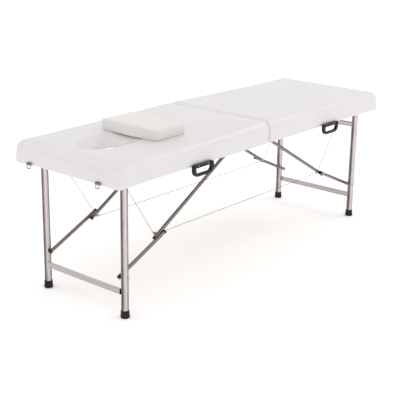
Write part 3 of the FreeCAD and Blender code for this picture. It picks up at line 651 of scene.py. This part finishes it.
def make_bail(half):
    low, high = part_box(half + "_handle")
    middle = (low + high) / 2
    depth = (high.y - low.y) / 2
    bail = block(half + "_bail", low, high)
    round_edges(bail, BAIL_OUTER_CORNER, 10,
                lambda p: abs(p.z - low.z) < 1e-5 and abs(p.y - middle.y) < 1e-5)
    round_edges(bail, BAIL_TOP_CORNER, 6,
                lambda p: abs(p.z - high.z) < 1e-5 and abs(p.y - middle.y) < 1e-5)
    round_edges(bail, depth * 0.95, 8,
                lambda p: abs(p.z - high.z) < 1e-5 and abs(p.x - middle.x) < 1e-5)
    opening = block("opening", (low.x + BAIL_ARM, low.y - CUT_MARGIN, low.z + BAIL_GRIP),
                    (high.x - BAIL_ARM, high.y + CUT_MARGIN, high.z + CUT_ABOVE))
    round_edges(opening, BAIL_INNER_CORNER, 8,
                lambda p: p.z < low.z + BAIL_GRIP + 1e-5 and abs(p.y - middle.y) < 1e-5)
    applied(bail, "BOOLEAN", object=opening, operation="DIFFERENCE", solver="EXACT")
    bpy.data.objects.remove(opening)
    applied(bail, "REMESH", mode="VOXEL", voxel_size=BAIL_VOXEL)
    applied(bail, "SMOOTH", factor=0.5, iterations=BAIL_SMOOTHING)
    grip_reach = middle.x - low.x - BAIL_OUTER_CORNER
    for vertex in bail.data.vertices:
        x = vertex.co.x - middle.x
        if abs(x) < grip_reach and vertex.co.z < low.z + BAIL_GRIP:
            fade = 1 - (x / grip_reach) ** 4
            vertex.co.z -= RIDGE_HEIGHT * fade * cos(2 * pi * x / RIDGE_SPACING)

    pivot_z = high.z - depth
    parts = []
    for side in (-1, 1):
        start_clean()
        bpy.ops.mesh.primitive_cylinder_add(
            vertices=24, radius=PIN_RADIUS, depth=PIN_LENGTH, rotation=(0, pi / 2, 0),
            location=(middle.x + side * (high.x - middle.x - BAIL_ARM - PIN_INSET),
                      middle.y, pivot_z))
        parts.append(newest("pin"))
    make_active(bail)
    for part in parts:
        part.select_set(True)
    bpy.ops.object.join()
    bail = newest(half + "_bail")
    bpy.ops.object.shade_smooth_by_angle(angle=radians(40))
    bail.data.materials.append(gloss_abs)
    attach(bail, half + "_handle")
    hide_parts(half + "_handle")


def make_screws(half):
    """The two cross-head screws that hold the bar, each in its recess."""
    low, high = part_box(half + "_handle_mount")
    grip_low, grip_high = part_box(half + "_handle")
    z = grip_high.z - (grip_high.y - grip_low.y) / 2
    seat = low.y + SCREW_RECESS
    heads = []
    for side in (-1, 1):
        x = (low.x + high.x) / 2 + side * SCREW_SPACING / 2
        start_clean()
        bpy.ops.mesh.primitive_uv_sphere_add(segments=24, ring_count=12, radius=SCREW_RADIUS,
                                             location=(x, seat, z), scale=(1, SCREW_DOME, 1))
        head = newest("screw")
        for turn in (0, pi / 2):
            start_clean()
            bpy.ops.mesh.primitive_cube_add(size=1, rotation=(0, turn, 0),
                                            location=(x, seat - SLOT_RISE, z),
                                            scale=SLOT_SIZE)
            slot_cutter = newest("slot")
            applied(head, "BOOLEAN", object=slot_cutter, operation="DIFFERENCE", solver="EXACT")
            bpy.data.objects.remove(slot_cutter)
        heads.append(head)
    make_active(heads[0])
    heads[1].select_set(True)
    bpy.ops.object.join()
    screws = newest(half + "_handle_screws")
    bpy.ops.object.shade_smooth_by_angle(angle=radians(35))
    screws.data.materials.append(zinc)
    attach(screws, half + "_panel")


for half in HALVES:
    dress(gloss_abs, half + "_handle_mount", half + "_upper_brace_caps", half + "_lower_brace_caps")
    make_bail(half)
    make_screws(half)


# ==================================================================== tension cables
# Steel wire ropes, 2 mm thick, one on each side. Each runs from under the head panel down to
# the knee, level to the other knee and up again, and is what keeps the legs from spreading.
CABLE_RADIUS = 1 * MM
FERRULE_RADIUS = 2.3 * MM
FERRULE_LENGTH = 13 * MM
FERRULE_PLACE = 30 * MM
FERRULE_EDGE = 0.6 * MM
ANCHOR_INSET = 0.6 * MM
ANCHOR_DROP = 0.8 * MM
BEND_STEPS = 6


def wire_rope():
    """Galvanised wire rope: grey strands laid in a tight twist, with painted shade in the gaps between
    them.
    """
    material, shader, place = surface("wire_rope", Metallic=1, Roughness=0.38)
    slant = add(material, "Mapping", {"Rotation": (0, radians(35), radians(20))}, {"Vector": place})
    # a strand crosses the real rope every 1.5 mm; it is drawn twice as wide, so that it shows
    strands = add(material, "TexWave", {"Scale": 1 / (3 * MM) / 20}, {"Vector": slant.outputs["Vector"]})
    # the ramp's dark end is painted shade in the gaps between the strands
    tint = add(material, "ValToRGB", links={"Fac": strands.outputs["Fac"]},
               stops=[(0.0, "#474443"), (0.6, "#615D5B")])
    bump = add(material, "Bump", {"Strength": 0.35, "Distance": 0.2 * MM},
               {"Height": strands.outputs["Fac"]})
    wire_up(material, shader, Base_Color=tint.outputs["Color"], Normal=bump.outputs["Normal"])
    return material


rope_steel = wire_rope()


def make_cables(half):
    low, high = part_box(half + "_cables")
    knee_low, knee_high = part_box(half + "_knee_bolts")
    side = -1 if half == "head" else 1
    knee = (knee_low + knee_high) / 2
    level_z = low.z + CABLE_RADIUS
    anchor_x = (low.x if half == "head" else high.x) - side * ANCHOR_INSET
    anchor_z = high.z - ANCHOR_DROP
    bend = knee.z - level_z
    slope = atan2(anchor_z - knee.z, abs(anchor_x - knee.x))
    wires = []
    for y in (low.y + CABLE_RADIUS, high.y - CABLE_RADIUS):
        route = [(anchor_x, anchor_z)]
        for i in range(BEND_STEPS + 1):
            turn = slope * (1 - i / BEND_STEPS)
            route.append((knee.x + side * bend * sin(turn), knee.z - bend * cos(turn)))
        route.append((0, level_z))
        curve = bpy.data.curves.new(half + "_cable", "CURVE")
        curve.dimensions = "3D"
        spline = curve.splines.new("POLY")
        spline.points.add(len(route) - 1)
        for point, (x, z) in zip(spline.points, route):
            point.co = (x, y, z, 1)
        curve.bevel_depth = CABLE_RADIUS
        curve.bevel_resolution = 3
        curve.use_fill_caps = True
        wire = bpy.data.objects.new(half + "_cable", curve)
        bpy.context.scene.collection.objects.link(wire)
        make_active(wire)
        bpy.ops.object.convert(target="MESH")
        wires.append(bpy.context.active_object)
        anchor, at_knee = Vector((anchor_x, y, anchor_z)), Vector((knee.x, y, knee.z))
        wires.append(make_ferrule(anchor, at_knee, FERRULE_PLACE))
    make_active(wires[0])
    for wire in wires:
        wire.select_set(True)
    bpy.ops.object.join()
    cables = newest(half + "_wire_ropes")
    bpy.ops.object.shade_smooth_by_angle(angle=radians(40))
    cables.data.materials.clear()
    cables.data.materials.append(rope_steel)
    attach(cables, half + "_panel")
    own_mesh(cables)
    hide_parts(half + "_cables")


def make_ferrule(start, towards, distance):
    """A pressed sleeve on the cable, just below its anchor."""
    along = (towards - start).normalized()
    start_clean()
    turn = along.to_track_quat("Z", "Y").to_euler()
    bpy.ops.mesh.primitive_cylinder_add(vertices=20, radius=FERRULE_RADIUS, depth=FERRULE_LENGTH,
                                        location=start + along * distance, rotation=turn)
    ferrule = newest("ferrule")
    applied(ferrule, "BEVEL", width=FERRULE_EDGE, segments=2, limit_method="ANGLE")
    return ferrule


for half in HALVES:
    make_cables(half)


# ==================================================================== studio
# A pale seamless floor, a white room, and large soft lights: the key at the left, one high at
# the foot end that draws the gloss along the near edge, and one behind for the head end's edge.
def make_floor():
    start_clean()
    bpy.ops.mesh.primitive_plane_add(size=40, location=(0, 0, 0))
    floor = newest("floor")
    paper, shader, place = surface("floor_paper", Roughness=0.9, Specular_IOR_Level=0.1,
                                   Emission_Color=(1, 1, 1, 1), Emission_Strength=0.14)
    fibres = add(paper, "TexNoise", {"Scale": 3, "Detail": 2}, {"Vector": place})
    tint = add(paper, "ValToRGB", links={"Fac": fibres.outputs["Fac"]},
               stops=[(0.3, "#FBFBFD"), (0.7, "#FDFDFE")])
    wire_up(paper, shader, Base_Color=tint.outputs["Color"])
    floor.data.materials.append(paper)


def make_light(name, place, aim, size, power, colour):
    start_clean()
    bpy.ops.object.light_add(type="AREA", location=place)
    light = bpy.context.active_object
    light.name = name
    light.data.shape = "RECTANGLE"
    light.data.size, light.data.size_y = size
    light.data.energy = power
    light.data.color = linear(colour)[:3]
    light.rotation_euler = (Vector(aim) - Vector(place)).to_track_quat("-Z", "Y").to_euler()


make_floor()
make_light("key", (-3.2, -3.6, 2.6), (0, 0, 0.5), (2.4, 1.6), 11, "#FFFFFF")
make_light("gloss", (3.0, -1.7, 3.2), (0, -0.2, 0.6), (1.6, 0.8), 20, "#FFFFFF")
make_light("rim", (-1.6, 3.0, 3.6), (-0.4, 0, 0.6), (2.6, 1.2), 11, "#FFFFFF")
world = bpy.data.worlds.new("studio")
world.use_nodes = True
world.node_tree.nodes["Background"].inputs["Color"].default_value = linear("#FFFFFF")
world.node_tree.nodes["Background"].inputs["Strength"].default_value = 1.0
bpy.context.scene.world = world
bpy.context.scene.view_settings.view_transform = "Standard"

# The camera stands at the head end's near corner, a little above the table.
CAMERA_TARGET = Vector((-0.177, -0.002, 0.35))
CAMERA_DISTANCE = 4.218
CAMERA_AZIMUTH = radians(-49.7)
CAMERA_ELEVATION = radians(17.25)
CAMERA_ROLL = radians(0.69)
CAMERA_LENS = 85.27
CAMERA_SHIFT = (0.0224, -0.0392)
back = Vector((sin(CAMERA_AZIMUTH) * cos(CAMERA_ELEVATION),
               -cos(CAMERA_AZIMUTH) * cos(CAMERA_ELEVATION), sin(CAMERA_ELEVATION)))
right = Vector((0, 0, 1)).cross(back).normalized()
up = back.cross(right)
rolled_right = right * cos(CAMERA_ROLL) + up * sin(CAMERA_ROLL)
rolled_up = up * cos(CAMERA_ROLL) - right * sin(CAMERA_ROLL)
start_clean()
bpy.ops.object.camera_add(location=CAMERA_TARGET + back * CAMERA_DISTANCE)
camera = bpy.context.active_object
camera.rotation_euler = Matrix((rolled_right, rolled_up, back)).transposed().to_euler()
camera.data.lens = CAMERA_LENS
camera.data.shift_x, camera.data.shift_y = CAMERA_SHIFT
bpy.context.scene.camera = camera
